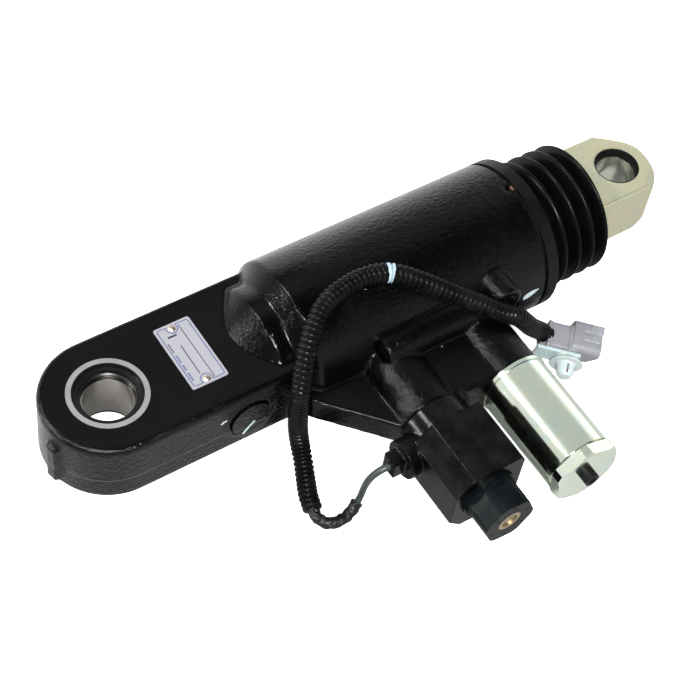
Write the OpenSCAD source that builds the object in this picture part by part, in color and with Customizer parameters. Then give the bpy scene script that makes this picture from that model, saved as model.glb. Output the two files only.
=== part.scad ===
// Hydraulic cylinder with a solenoid valve, a spring accumulator and a wiring harness.
// The cylinder lies along +X. The origin is the centre of the base eye, and both eyes' pins stand along Z.

/* [Base eye and lug] */
// Radius of the lug's round end, which is half its width
lug_r = 34.3; // [32:0.1:36]
// Thickness of the lug along the eye's axis
lug_t = 40.5; // [38:0.5:44]
// Fillet along the lug's edges
lug_fillet = 3; // [1:0.5:6]
// Radius of the pin bore in the base eye's ball
base_pin_r = 12.5; // [10:0.1:12.5]
// Radius of the ball that turns in the base eye's race
ball_r = 18.9; // [18.5:0.1:19]
// Width of the ball along the pin
ball_w = 27; // [24:0.5:27]

/* [Barrel] */
// Outer radius of the barrel
barrel_r = 42.1; // [41:0.1:43]
// Radius of the cylinder bore
bore_r = 30; // [28:0.5:31]
// Where the barrel ends, at the gland
barrel_end = 237.3; // [236:0.1:239]
// Radius of the boss between the lug and the barrel
boss_r = 33.5; // [32:0.1:34]

/* [Rod and rod eye] */
// Radius of the piston rod
rod_r = 19.98; // [16:0.01:20]
// Distance between the two eyes' pins at rest
pin_to_pin = 315.5; // [312:0.5:320]
// Half the width of the rod eye
eye_half_w = 22.1; // [20:0.1:24]
// Half the thickness of the rod eye along its pin
eye_half_t = 17.8; // [16:0.1:19]
// Radius of the pin bore in the rod eye's bush
rod_pin_r = 10.6; // [9:0.1:11]

/* [Valve and accumulator] */
// Place of the solenoid valve along the barrel
valve_x = 139; // [136:1:140]
// Place of the accumulator along the barrel
acc_x = 188.9; // [188:0.1:191]
// Outer radius of the accumulator's shell
acc_r = 18.5; // [17:0.1:19]
// Radius of the two cast bosses that carry them
cast_boss_r = 17.4; // [17:0.1:17.6]

/* [Bellows and harness] */
// Number of folds in the bellows
folds = 4; // [3:1:5]
// Outer radius of the bellows' folds
fold_r = 36.4; // [34:0.1:40]
// Radius of the corrugated conduit
conduit_r = 5.2; // [4.8:0.1:5.4]
// Radius of the coil's lead
lead_r = 2; // [1.5:0.1:2.2]

/* [Hidden] */
$fn = 96;
gap = 0.03;                       // clearance between parts that are pressed or screwed together
lug_h = lug_t / 2;
race_r = 20.4;                    // outside of the base eye's race
race_seat_h = 8.5;                // half the width of the race's seat
race_mouth_r = 17.7;
gland_r = barrel_r;
gland_face = 246.3;
neck_r = 40.5;                    // bottom of the groove between barrel and gland
neck_end = 239.5;
head_bore_r = 33;                 // counterbore that the gland screws into
head_start = 216;
chamber_start = 104;
piston_start = 150;
piston_end = 178;
stub_r = 14;                      // rod's stub that carries the piston
rod_end = 290;
eye_start = 290;
nose_end = 337;
eye_offset = 1.7;                 // the eye's forging stands off the pin's line towards +Y
eye_hole_r = 12.6;
eye_seal_len = 4.8;
web_low = -9.7;
web_t = 15;
block_h = 13;                     // half the height of the valve block
block_front = -79;                // face that the valve's tube seats on
block_end = -80.6;                // front of the block between the valve and the accumulator
coil_back = -91;
coil_front = -128.3;
coil_low = -20;
coil_high = 19;
coil_near = valve_x - 20.7;
coil_far = valve_x + 19.6;
tube_r = 8;                       // armature tube
tube_bore_r = 6.1;
tube_tip_r = 6.6;
nut_face = -146.9;
shell_back = -82.5;
shell_front = -137;
cap_face = -144;
shell_bore_r = 13.5;
gallery_y = -41;
gallery_z = 14.5;
port_x = 205.6;
port_z = 18.9;
plate_x = 46.5;
plate_y = 1.3;
plate_l = 40;
plate_w = 20;
plate_t = 0.6;
rivet_x = -0.9;                   // the rivets stand on the plate's long middle line, near its ends
rivet_y = 17.1;
cuff_end = 250.5;                 // end of the bellows' wide cuff
small_cuff_start = 287;
small_cuff_end = 289.5;
first_fold = 256.8;                // middle of the bellows' first fold
last_fold = 284.3;
valley_r = 27;
skin = 1.8;                       // wall of the bellows

// Route of the conduit from the taped end of the coil's lead to the connector
conduit_route = [[73.9, -77.5, -36.8], [76.4, -69, -36.5], [80.5, -60, -36.2], [84, -51.5, -33.5],
  [85.2, -46, -27.5], [85, -43.2, -19], [84.3, -42.4, -8], [83.8, -42.4, 2], [83.6, -42.3, 12],
  [84.4, -41, 21], [88, -36.5, 30], [94, -30.5, 37], [101, -24.5, 41.5], [110, -19, 44.5],
  [120, -16.5, 46], [132, -15.5, 46.5], [143, -17.5, 46.5], [152, -22, 45], [160.5, -28.5, 42],
  [169, -35, 38], [178, -41.5, 33], [187, -47.5, 28], [196.5, -53.5, 22], [206, -56, 15.8],
  [214, -55.5, 5.5], [221.3, -53.8, -5.2], [227.8, -51.9, -13.9], [233.2, -51, -20.3],
  [237, -51.4, -24.9], [240.2, -52.9, -28.3]];
// Route of the coil's lead from its boss to the tape
lead_route = [[107, -91.5, -0.5], [103.2, -91.4, -0.7], [100.1, -91, -2.1], [97.9, -90.2, -5],
  [97, -89.1, -9.2], [96.9, -87.7, -14.5], [97.1, -86.5, -20], [97.1, -85.7, -25.5], [96.6, -85.5, -30.2],
  [94.8, -86, -34]];
// Route of the tape from the lead round its turn to the conduit
tape_route = [[94.8, -86, -34], [92, -87, -36.5], [88.4, -88.2, -37.7], [84.6, -88.9, -37.9],
  [80.8, -88.9, -37.9], [77.2, -87.7, -37.8], [74.7, -85.1, -37.6], [73.5, -81.6, -37.3], [73.9, -77.5, -36.8]];
tape_r = 3.4;
// Centre of the connector, which leans on the floor with its mouth down and towards -Y
plug_at = [250.2, -61.1, -30.9];
plug_turn = [10, 8, -40];
plug_l = 30;
plug_w = 15;                      // rear body
plug_h = 11.5;
shroud_w = 19;
shroud_h = 15;
shroud_y = 2.3;                   // the shroud stands off the rear body's middle

// ---- helpers ----

// Children drawn along +Z are turned to run along +X from x
module along_x(x) { translate([x, 0, 0]) rotate([0, 90, 0]) children(); }

// Children drawn along +Z are turned to run along -Y from (x, y, z)
module towards_valve(x, y, z = 0) { translate([x, y, z]) rotate([90, 0, 0]) children(); }

module ring(outer, inner, length) {
  difference() {
    cylinder(r = outer, h = length);
    translate([0, 0, -1]) cylinder(r = inner, h = length + 2);
  }
}

// Flat ring that is round in section, lying in the XY plane
module o_ring(centre_r, wire_r) { rotate_extrude() translate([centre_r, 0]) circle(r = wire_r, $fn = 32); }

// A square bar's section with round corners
module soft_square(w, h, r) {
  square([w - 2 * r, h], center = true);
  square([w, h - 2 * r], center = true);
  for (sx = [-1, 1], sy = [-1, 1]) translate([sx * (w / 2 - r), sy * (h / 2 - r)]) circle(r = r, $fn = 48);
}

function unit(v) = v / norm(v);
function heading(p, i) = unit(p[min(i + 1, len(p) - 1)] - p[max(i - 1, 0)]);
function flatten_to(v, t) = unit(v - (v * t) * t);
function side_vector(p, i) = i == 0
  ? flatten_to([0.3, 0.2, 1], heading(p, 0))
  : flatten_to(side_vector(p, i - 1), heading(p, i));
function ring_points(p, i, r, n) = let (u = side_vector(p, i), w = cross(heading(p, i), u))
  [for (k = [0 : n - 1]) p[i] + r * (cos(360 * k / n) * u + sin(360 * k / n) * w)];

// A plain tube of radius r swept along the points of route
module swept_tube(route, r, n) {
  last = len(route) - 1;
  points = [for (i = [0 : last]) each ring_points(route, i, r, n)];
  walls = [for (i = [0 : last - 1], k = [0 : n - 1])
    [i * n + k, (i + 1) * n + k, (i + 1) * n + (k + 1) % n, i * n + (k + 1) % n]];
  ends = [[for (k = [0 : n - 1]) k], [for (k = [n - 1 : -1 : 0]) last * n + k]];
  polyhedron(points = points, faces = concat(walls, ends), convexity = 6);
}

// A coil spring along +Z, as a solid of stacked turns
module spring_solid(coil_r, wire_r, length, turns) {
  pitch = (length - 2 * wire_r) / (turns - 1);
  for (i = [0 : turns - 1]) translate([0, 0, wire_r + i * pitch]) o_ring(coil_r, wire_r);
  for (s = [-1, 1]) translate([s * coil_r, 0, wire_r]) cylinder(r = wire_r * 0.6, h = length - 2 * wire_r);
}

// ---- casting ----

module lug_body() {
  rotate_extrude() intersection() {
    soft_square(2 * lug_r, lug_t, lug_fillet);
    translate([0, -lug_t]) square([2 * lug_r, 2 * lug_t]);
  }
  rotate([90, 0, 90]) linear_extrude(height = 96) soft_square(2 * lug_r, lug_t, lug_fillet);
}

module barrel_body() {
  step = barrel_r - boss_r;
  cone_x = 68.8;
  cone_r = lug_h;
  rotate([0, 90, 0]) rotate_extrude() polygon([[0, cone_x], [cone_r, cone_x],
    [boss_r, cone_x + boss_r - cone_r], [boss_r, 89.9],
    [barrel_r, 89.9 + step], [barrel_r, barrel_end], [0, barrel_end]]);
}

module valve_block_body() {
  translate([0, 0, web_low]) linear_extrude(height = web_t)
    polygon([[89.9, -30], [89.9, -43.2], [122, block_front + 0.2], [150, block_front + 0.2], [150, -30]]);
  translate([valve_x, block_end, -block_h]) cube([acc_x - valve_x, -block_end - 30, 2 * block_h]);
  towards_valve(valve_x, -30) cylinder(r = cast_boss_r, h = -block_front - 30);
  towards_valve(acc_x, -30) cylinder(r = cast_boss_r, h = -shell_back - 32);
  translate([132, gallery_y, gallery_z]) rotate([0, 90, 0]) cylinder(r = 9.5, h = 54);
  translate([132, gallery_y, 3]) cube([54, 9, 12]);
  towards_valve(port_x, -25, port_z) cylinder(r = 8.8, h = 23.3);
}

module cylinder_casting() {
  color([0.03, 0.03, 0.035]) difference() {
    union() {
      lug_body();
      barrel_body();
      valve_block_body();
      rotate([0, 0, 193]) translate([lug_r - 3, -3.5, -17]) cube([5.5, 7, 26]);
      towards_valve(60.5, -lug_r + 1, 0.5) cylinder(r = 13.6, h = 1.6);
    }
    // base eye
    translate([0, 0, -lug_t]) cylinder(r = race_r + gap, h = 2 * lug_t);
    // cylinder bore and the gland's counterbore
    along_x(chamber_start) cylinder(r = bore_r, h = 200);
    along_x(head_start) cylinder(r = head_bore_r, h = 60);
    // cartridge bore, accumulator bore and their passages into the chamber
    towards_valve(valve_x, -46) cylinder(r = 9.03, h = 60);
    towards_valve(valve_x, -20) cylinder(r = 3, h = 40);
    towards_valve(acc_x, -48) cylinder(r = 13.03, h = 40);
    towards_valve(acc_x, -20) cylinder(r = 3, h = 40);
    // face that the accumulator's seal sits on, and the recess that the coil's collar sits in
    towards_valve(acc_x, shell_back + 2) cylinder(r = acc_r + 1.5, h = 20);
    translate([valve_x - 30, block_front - 6, -block_h - 1]) cube([29 + cast_boss_r * 0.9, 6, 2 * block_h + 2]);
    towards_valve(valve_x, block_front) cylinder(r = 21, h = 20);
    // gallery, side port and side plug
    translate([131, gallery_y, gallery_z]) rotate([0, 90, 0]) cylinder(r = 4, h = 50);
    translate([131, gallery_y, gallery_z]) rotate([0, 90, 0]) cylinder(r = 6.5 + gap, h = 11);
    towards_valve(port_x, -18, port_z) cylinder(r = 3, h = 60);
    towards_valve(port_x, -38, port_z) cylinder(r = 5 + gap, h = 30);
    towards_valve(60.5, -lug_r + 6, 0.5) cylinder(r = 11 + gap, h = 20);
    // seat of the gland's lock pin
    translate([barrel_end - 3, -1.5, barrel_r - 4]) cube([5, 3, 6]);
  }
}

// ---- base eye ----

module base_eye_race() {
  color("silver") difference() {
    translate([0, 0, -lug_h]) cylinder(r = race_r, h = lug_t);
    translate([0, 0, -lug_h - 1]) cylinder(r = 16, h = lug_t + 2);
    for (s = [0, 180]) rotate([s, 0, 0]) translate([0, 0, race_seat_h]) cylinder(r = race_mouth_r, h = 20);
    sphere(r = ball_r + 0.05);
  }
}

module base_eye_ball() {
  color("lightgray") difference() {
    intersection() {
      sphere(r = ball_r);
      cube([60, 60, ball_w], center = true);
    }
    translate([0, 0, -20]) cylinder(r = base_pin_r, h = 40);
  }
}

module base_eye_seals() {
  color("black") for (s = [0, 180]) rotate([s, 0, 0]) rotate_extrude()
    polygon([[race_mouth_r - gap, 11.5], [race_mouth_r - gap, lug_h], [16.9, lug_h], [16.4, 18.6], [14.6, 18.2],
      [14.3, 16.4], [13.4, 15.8], [13.4, 14.2], [15.2, 14.2], [16.6, 12.6]]);
}

// ---- lug trim ----

module nameplate() {
  color([0.85, 0.86, 0.9]) translate([plate_x, plate_y, lug_h]) difference() {
    linear_extrude(height = plate_t) soft_square(plate_w, plate_l, 1.2);
    for (s = [-1, 1]) translate([rivet_x, s * rivet_y, -1]) cylinder(r = 1.2, h = 3);
  }
}

module nameplate_rivets() {
  color([0.85, 0.72, 0.4]) for (s = [-1, 1])
    translate([plate_x + rivet_x, plate_y + s * rivet_y, lug_h + plate_t]) {
    intersection() {
      translate([0, 0, -1.6]) sphere(r = 2.6, $fn = 48);
      cylinder(r = 2.2, h = 2);
    }
    translate([0, 0, -plate_t + 0.02]) cylinder(r = 1.15, h = plate_t);
  }
}

module lug_side_plug() {
  color([0.05, 0.05, 0.06]) towards_valve(60.5, -lug_r + 5.98, 0.5) cylinder(r = 11, h = 7.6);
}

module gallery_plug() {
  color([0.2, 0.2, 0.22]) translate([142, gallery_y, gallery_z]) rotate([0, -90, 0]) {
    cylinder(r = 6.5, h = 10);
    intersection() {
      translate([0, 0, 10.8 - 22.5]) sphere(r = 22.5);
      translate([0, 0, 9]) cylinder(r = 6.3, h = 3);
    }
  }
}

module port_plug() {
  color([0.05, 0.05, 0.06]) towards_valve(port_x, -38, port_z) cylinder(r = 5, h = 10.4);
}

// ---- gland ----

module gland() {
  color([0.1, 0.1, 0.11]) difference() {
    union() {
      along_x(head_start + 0.5) cylinder(r = head_bore_r - gap, h = barrel_end - head_start);
      along_x(barrel_end) cylinder(r = neck_r, h = neck_end - barrel_end + 1);
      along_x(neck_end) cylinder(r = gland_r, h = gland_face - neck_end);
      along_x(gland_face - 1) cylinder(r = 30, h = cuff_end - gland_face + 1);
    }
    along_x(head_start) cylinder(r = 20.4, h = 60);
    along_x(head_start) cylinder(r = 22 + gap, h = 12.5);
    along_x(230.5) cylinder(r = 25 + gap, h = 6.5);
    along_x(244) cylinder(r = 24.5 + gap, h = 10);
    along_x(224) ring(40, 30.4, 3.6);
    translate([barrel_end - 3, -1.5, barrel_r - 4]) cube([5, 3, 6]);
  }
}

module gland_o_ring() { color("black") along_x(225.8) o_ring(31.8, 1.15); }

module gland_lock_pin() {
  color([0.75, 0.42, 0.32]) translate([barrel_end + 0.4, -1.3, barrel_r - 3.8]) cube([1.2, 2.6, 2.6]);
}

module gland_bush() { color([0.6, 0.5, 0.3]) along_x(head_start + 0.8) ring(22, rod_r + 0.05, 11.5); }

module rod_seal() { color([0.2, 0.3, 0.5]) along_x(230.6) ring(25, rod_r + 0.07, 6.3); }

module rod_wiper() {
  color([0.15, 0.15, 0.15]) along_x(244.1) {
    ring(24.5, rod_r + 0.07, 6);
    translate([0, 0, 6]) rotate_extrude()
      polygon([[rod_r + 0.07, -0.1], [22.5, -0.1], [21, 3], [rod_r + 0.07, 3.5]]);
  }
}

// ---- rod, piston and rod eye ----

module piston_rod() {
  color("gainsboro") difference() {
    union() {
      along_x(137) cylinder(r = stub_r - gap, h = piston_end - 137 + 1);
      along_x(piston_end) cylinder(r = rod_r, h = rod_end - piston_end);
    }
    along_x(rod_end - 12) cylinder(r = stub_r, h = 20);
  }
}

// The eye is turned about the rod's axis before its flats are cut
module turned_nose() {
  rotate([0, 90, 0]) rotate_extrude() polygon([[0, 280], [29.9, 280], [29.9, 315.3], [20.7, 331], [18, 334.5],
    [14, 336.5], [8, nose_end], [0, nose_end]]);
}

module rod_eye() {
  color([0.78, 0.78, 0.66]) difference() {
    union() {
      intersection() {
        translate([0, eye_offset, 0]) along_x(eye_start) linear_extrude(height = 60)
          soft_square(2 * eye_half_t, 2 * eye_half_w, 1);
        union() {
          translate([pin_to_pin - 2, 0, -30]) cylinder(r = 24, h = 60);
          translate([eye_start - 1, -30, -30]) cube([pin_to_pin - 1 - eye_start, 60, 60]);
        }
        turned_nose();
      }
      along_x(rod_end - 11.5) cylinder(r = stub_r - gap, h = 20);
    }
    translate([pin_to_pin, 0, -30]) cylinder(r = eye_hole_r, h = 60);
  }
}

module rod_eye_bush() {
  bush_l = 2 * (eye_half_t - eye_seal_len - 0.1);
  color("silver") translate([pin_to_pin, 0, -bush_l / 2]) ring(eye_hole_r - gap, rod_pin_r, bush_l);
}

module rod_eye_seals() {
  color("black") for (s = [0, 180]) translate([pin_to_pin, 0, 0]) rotate([s, 0, 0]) rotate_extrude()
    polygon([[eye_hole_r - gap, eye_half_t - eye_seal_len], [eye_hole_r - gap, eye_half_t - 0.2],
      [11.9, eye_half_t - 0.2], [11.2, eye_half_t - 2], [10.9, eye_half_t - eye_seal_len]]);
}

module piston() {
  color("gray") along_x(piston_start) difference() {
    cylinder(r = bore_r - 0.5, h = piston_end - piston_start);
    translate([0, 0, -1]) cylinder(r = stub_r, h = 40);
    for (x = [3, 20]) translate([0, 0, x]) ring(40, 27.5, 5);
    translate([0, 0, 11.5]) ring(40, 25.5, 5);
  }
}

module piston_wear_rings() {
  color([0.5, 0.35, 0.2]) for (x = [3, 20])
    along_x(piston_start + x + 0.1) ring(bore_r - 0.05, 27.5 + gap, 4.8);
}

module piston_seal() {
  color([0.1, 0.3, 0.3]) along_x(piston_start + 11.6) ring(bore_r - 0.05, 25.5 + gap, 4.8);
}

module piston_nut() {
  color("dimgray") along_x(138) difference() {
    cylinder(r = 21, h = piston_start - 138, $fn = 6);
    translate([0, 0, -1]) cylinder(r = stub_r, h = 20);
  }
}

// ---- bellows ----

function fold_x(i) = i == 0 ? cuff_end : i == 2 * folds ? small_cuff_start
  : first_fold + (last_fold - first_fold) * (i - 1) / (2 * folds - 2);
function fold_radius(i) = i == 0 ? 33 : i == 2 * folds ? 24.8 : i % 2 == 1 ? fold_r - 0.07 * i : valley_r;

module bellows() {
  outer = [for (i = [0 : 2 * folds]) [fold_radius(i), fold_x(i)]];
  inner = [for (i = [2 * folds : -1 : 0])
    [max(fold_radius(i) - skin, i == 2 * folds ? rod_r + 0.02 : 0), fold_x(i)]];
  color([0.05, 0.05, 0.05]) rotate([0, 90, 0]) rotate_extrude() polygon(concat(
    [[30.02, cuff_end - 4.1], [33, cuff_end - 4.1]], outer,
    [[24.8, small_cuff_end], [rod_r + 0.02, small_cuff_end]], inner, [[30.02, cuff_end + 0.1]]));
}

// ---- solenoid valve ----

module valve_cage() {
  color("silver") towards_valve(valve_x, -50) difference() {
    ring(9, 5.03, 28.8);
    for (z = [8, 16]) translate([0, 0, z]) ring(12, 7.6, 3);
    for (a = [0, 90]) translate([0, 0, 20]) rotate([90, 0, a]) cylinder(r = 1.2, h = 24, center = true);
  }
}

module valve_spring() { color("silver") towards_valve(valve_x, -46.1) spring_solid(3.6, 0.5, 8.8, 6); }

module valve_spool() {
  color("silver") towards_valve(valve_x, -55) difference() {
    union() {
      cylinder(r = 5, h = 15);
      translate([0, 0, -6]) cylinder(r = 2, h = 7);
    }
    translate([0, 0, 5]) ring(20, 3.4, 5);
  }
}

module push_pin() { color("silver") towards_valve(valve_x, -70.02) cylinder(r = 1.5, h = 29.96); }

module armature() { color("gray") towards_valve(valve_x, -100) cylinder(r = tube_bore_r - 0.06, h = 30); }

module armature_tube() {
  color("silver") towards_valve(valve_x, block_front) difference() {
    union() {
      cylinder(r = 13, h = 1.8);
      cylinder(r = tube_r, h = 58);
      translate([0, 0, 57]) cylinder(r = tube_tip_r, h = 10.6);
    }
    translate([0, 0, -1]) cylinder(r = tube_bore_r, h = 56);
    translate([0, 0, 50]) cylinder(r = 1.6, h = 30);
    translate([0, 0, 66.4]) cylinder(r = 4.4, h = 5);
  }
}

module pole_piece() {
  color("gray") towards_valve(valve_x, block_front) ring(tube_bore_r - gap, 1.6, 17.5);
}

module override_pin() { color([0.8, 0.65, 0.35]) towards_valve(valve_x, -130.05) cylinder(r = 1.5, h = 15.6); }

module solenoid_coil() {
  lead_y = -92;
  color([0.06, 0.06, 0.065]) difference() {
    union() {
      towards_valve(0, coil_back) linear_extrude(height = coil_back - coil_front) polygon([
        [coil_near, -12.5], [coil_near + 7.7, coil_low], [coil_far - 8.6, coil_low], [coil_far, -13],
        [coil_far, 15], [coil_far - 2.1, coil_high], [coil_near + 10.2, coil_high], [coil_near, 10]]);
      towards_valve(valve_x, block_front - 0.6) cylinder(r = 19, h = 13);
      translate([coil_near - 6.3, lead_y, 0]) rotate([0, 90, 0]) cylinder(r = 10.4, h = 12);
      translate([coil_near - 13, lead_y - 4, -6]) cube([12, 9.5, 11]);
    }
    towards_valve(valve_x, block_front) cylinder(r = tube_r + 0.1, h = 60);
    towards_valve(valve_x, block_front) cylinder(r = 13.2, h = 3);
    for (y = [block_front - 3, coil_front + 2.2]) towards_valve(valve_x, y) ring(11, tube_r, 2.5);
  }
}

module coil_o_rings() {
  color("black") for (y = [block_front - 4.1, coil_front + 1.1]) towards_valve(valve_x, y) o_ring(9.45, 0.95);
}

module coil_nut() {
  color([0.08, 0.09, 0.09]) towards_valve(valve_x, coil_front - 0.1) difference() {
    union() {
      cylinder(r = 15.2, h = 1.6);
      cylinder(r = 14, h = 4);
      intersection() {
        rotate([0, 0, 53.4]) cylinder(r = 15.3, h = coil_front - nut_face - 0.1, $fn = 6);
        cylinder(r = 14.3, h = 40);
      }
    }
    translate([0, 0, -1]) cylinder(r = tube_r + 0.06, h = 10.6);
    cylinder(r = tube_tip_r + 0.06, h = 60);
    for (a = [23.4 : 60 : 323.4]) rotate([0, 0, a]) translate([9.4, -0.4, 17.2]) cube([2.4, 0.8, 4]);
  }
}

// ---- accumulator ----

module accumulator_seal() {
  color([0.75, 0.75, 0.4]) towards_valve(acc_x, shell_back + 1.97) ring(acc_r + 0.6, 13.2, 1.93);
}

module accumulator_shell() {
  color([0.78, 0.78, 0.66]) towards_valve(acc_x, shell_back) difference() {
    union() {
      cylinder(r = acc_r, h = shell_back - shell_front);
      translate([0, 0, -16]) cylinder(r = 13, h = 18);
    }
    translate([0, 0, -17]) cylinder(r = 4, h = 30);
    translate([0, 0, 6]) cylinder(r = shell_bore_r, h = 80);
  }
}

module accumulator_piston() {
  color("gray") towards_valve(acc_x, shell_back - 7) difference() {
    cylinder(r = shell_bore_r - 0.05, h = 14);
    translate([0, 0, 4]) cylinder(r = 10, h = 20);
    translate([0, 0, 4]) ring(20, 11.6, 3);
  }
}

module accumulator_piston_ring() {
  color("black") towards_valve(acc_x, shell_back - 11.1) ring(shell_bore_r - 0.04, 11.63, 2.8);
}

module accumulator_spring() {
  color("silver") towards_valve(acc_x, shell_back - 11.1) spring_solid(8.2, 1.1, 29.3, 6);
}

module accumulator_cap() {
  color([0.78, 0.78, 0.66]) towards_valve(acc_x, shell_front - 0.05) difference() {
    union() {
      cylinder(r = acc_r - 1.1, h = 1);
      intersection() {
        translate([0, 0, 0.8]) rotate([0, 0, 39.2])
          cylinder(r = 20.4, h = shell_front - cap_face - 0.8, $fn = 6);
        union() {
          cylinder(r = 19.3, h = 6);
          translate([0, 0, 6]) cylinder(r1 = 19.3, r2 = 18.3, h = 1);
        }
      }
      translate([0, 0, -14]) cylinder(r = shell_bore_r - gap, h = 15);
    }
    translate([0, 0, -15]) cylinder(r = 4, h = 30);
    translate([0, 0, -8]) ring(20, 11.4, 2.6);
  }
}

module cap_o_ring() { color("black") towards_valve(acc_x, shell_front + 6.6) o_ring(12.45, 0.98); }

module set_screw() {
  color([0.1, 0.1, 0.1]) towards_valve(acc_x, -128) difference() {
    cylinder(r = 4 - gap, h = 20.5);
    translate([0, 0, 16]) cylinder(r = 2.3, h = 6, $fn = 6);
  }
}

// ---- harness ----

module coil_lead() { color([0.12, 0.12, 0.12]) swept_tube(lead_route, lead_r, 8); }

module tape_wrap() { color([0.04, 0.04, 0.04]) swept_tube(tape_route, tape_r, 8); }

module conduit() { color([0.08, 0.09, 0.09]) swept_tube(conduit_route, conduit_r, 10); }

// Children drawn along +X are placed where the connector lies
module at_connector() { translate(plug_at) rotate(plug_turn) children(); }

// A bar of round-cornered section along the connector, from x to x + length
module plug_bar(x, length, w, h, r) {
  translate([x, 0, 0]) rotate([90, 0, 90]) linear_extrude(height = length) soft_square(w, h, r);
}

module connector_housing() {
  color([0.7, 0.72, 0.74]) at_connector() difference() {
    union() {
      plug_bar(-plug_l / 2, 18, plug_w, plug_h, 1.5);
      plug_bar(-plug_l / 2, 1.8, plug_w + 1, plug_h + 1, 1.8);
      plug_bar(-3, 5, plug_w + 1.2, plug_h + 1.6, 2);
      translate([-plug_l / 2 - 3, 0, 0.3]) rotate([0, 90, 0]) cylinder(r = conduit_r + 1, h = 4);
      translate([0, shroud_y, 0]) plug_bar(-1, plug_l / 2 + 1, shroud_w, shroud_h, 4);
      translate([8, shroud_y + 3, shroud_h / 2 - 1]) cube([7.4, 4.6, 1.8]);
    }
    translate([0, shroud_y, 0]) plug_bar(5, 20, shroud_w - 3, shroud_h - 3, 2.5);
    translate([15.4, 0, 3]) rotate([0, 33, 0]) translate([0, -20, -30]) cube([20, 40, 30]);
    for (y = [-1, 4.2]) translate([4, y, shroud_h / 2 - 0.7]) cube([9, 0.9, 3]);
    translate([-plug_l / 2 - 5, 0, 0.3]) rotate([0, 90, 0]) cylinder(r = conduit_r - 0.6, h = 7);
  }
}

module connector_terminals() {
  color([0.8, 0.65, 0.35]) at_connector() for (s = [-1, 1])
    translate([5, shroud_y + s * 3.5 - 1, -1]) cube([6, 2, 2]);
}

module connector_seal() {
  color([0.3, 0.5, 0.6]) at_connector() translate([0, shroud_y, 0]) difference() {
    plug_bar(5.05, 3, shroud_w - 3.1, shroud_h - 3.1, 2.5);
    plug_bar(4, 6, shroud_w - 6, shroud_h - 6, 2);
  }
}

module harness_clip() {
  side = -plug_w / 2 - 0.8;
  color([0.92, 0.94, 0.94]) at_connector() {
    translate([-20, side - 2, -6]) cube([24.5, 2, 12]);
    translate([-12, side - 0.1, -3]) cube([8, 0.88, 6]);
    translate([-1.8, side - 1.9, 0.3]) rotate([90, 0, 0]) {
      cylinder(r1 = 5, r2 = 9.2, h = 3);
      translate([0, 0, 3]) cylinder(r = 9.2, h = 0.8);
      difference() {
        union() {
          translate([0, 0, 3.5]) cylinder(r1 = 5.5, r2 = 4.8, h = 5);
          translate([0, 0, 8.4]) cylinder(r1 = 4.8, r2 = 3.2, h = 3);
        }
        translate([-0.5, -8, 4.8]) cube([1, 16, 5]);
      }
    }
  }
}

cylinder_casting();
base_eye_race();
base_eye_ball();
base_eye_seals();
nameplate();
nameplate_rivets();
lug_side_plug();
gallery_plug();
port_plug();
gland();
gland_o_ring();
gland_lock_pin();
gland_bush();
rod_seal();
rod_wiper();
piston_rod();
rod_eye();
rod_eye_bush();
rod_eye_seals();
piston();
piston_wear_rings();
piston_seal();
piston_nut();
bellows();
valve_cage();
valve_spring();
valve_spool();
push_pin();
armature();
armature_tube();
pole_piece();
override_pin();
solenoid_coil();
coil_o_rings();
coil_nut();
accumulator_seal();
accumulator_shell();
accumulator_piston();
accumulator_piston_ring();
accumulator_spring();
accumulator_cap();
cap_o_ring();
set_screw();
coil_lead();
tape_wrap();
conduit();
connector_housing();
connector_terminals();
connector_seal();
harness_clip();
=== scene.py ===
"""Looks of a hydraulic cylinder with a solenoid valve, an accumulator, a bellows and a wiring harness."""
import math

import bmesh
import bpy
import numpy as np
from mathutils import Matrix, Vector


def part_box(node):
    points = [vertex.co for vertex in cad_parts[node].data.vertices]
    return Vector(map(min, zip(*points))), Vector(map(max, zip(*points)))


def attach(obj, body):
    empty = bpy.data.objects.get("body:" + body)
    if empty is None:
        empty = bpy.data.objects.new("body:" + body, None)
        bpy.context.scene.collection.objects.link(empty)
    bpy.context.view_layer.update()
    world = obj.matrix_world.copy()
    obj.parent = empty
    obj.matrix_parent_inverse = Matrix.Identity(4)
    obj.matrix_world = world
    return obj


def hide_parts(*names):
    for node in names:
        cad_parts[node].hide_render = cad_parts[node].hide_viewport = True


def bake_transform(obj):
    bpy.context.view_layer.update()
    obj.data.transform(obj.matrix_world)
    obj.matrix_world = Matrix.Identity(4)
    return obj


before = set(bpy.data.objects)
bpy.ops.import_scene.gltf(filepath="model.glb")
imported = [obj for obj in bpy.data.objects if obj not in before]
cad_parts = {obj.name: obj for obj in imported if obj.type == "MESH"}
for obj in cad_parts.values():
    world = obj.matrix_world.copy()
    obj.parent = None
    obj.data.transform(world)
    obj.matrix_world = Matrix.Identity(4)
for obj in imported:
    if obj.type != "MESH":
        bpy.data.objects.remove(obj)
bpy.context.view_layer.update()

MM = 0.001
FLOOR_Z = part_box("cylinder_casting")[0].z

# ---------------------------------------------------------------- camera

# Degrees, metres and millimetres of lens, as the view was fitted
CAMERA = {"azimuth": -41.53, "elevation": 53.69, "roll": 10.39, "distance": 0.929, "lens": 93.67}
TARGET = Vector((0.1265, -0.0239, 0))
SENSOR_WIDTH = 36


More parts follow.
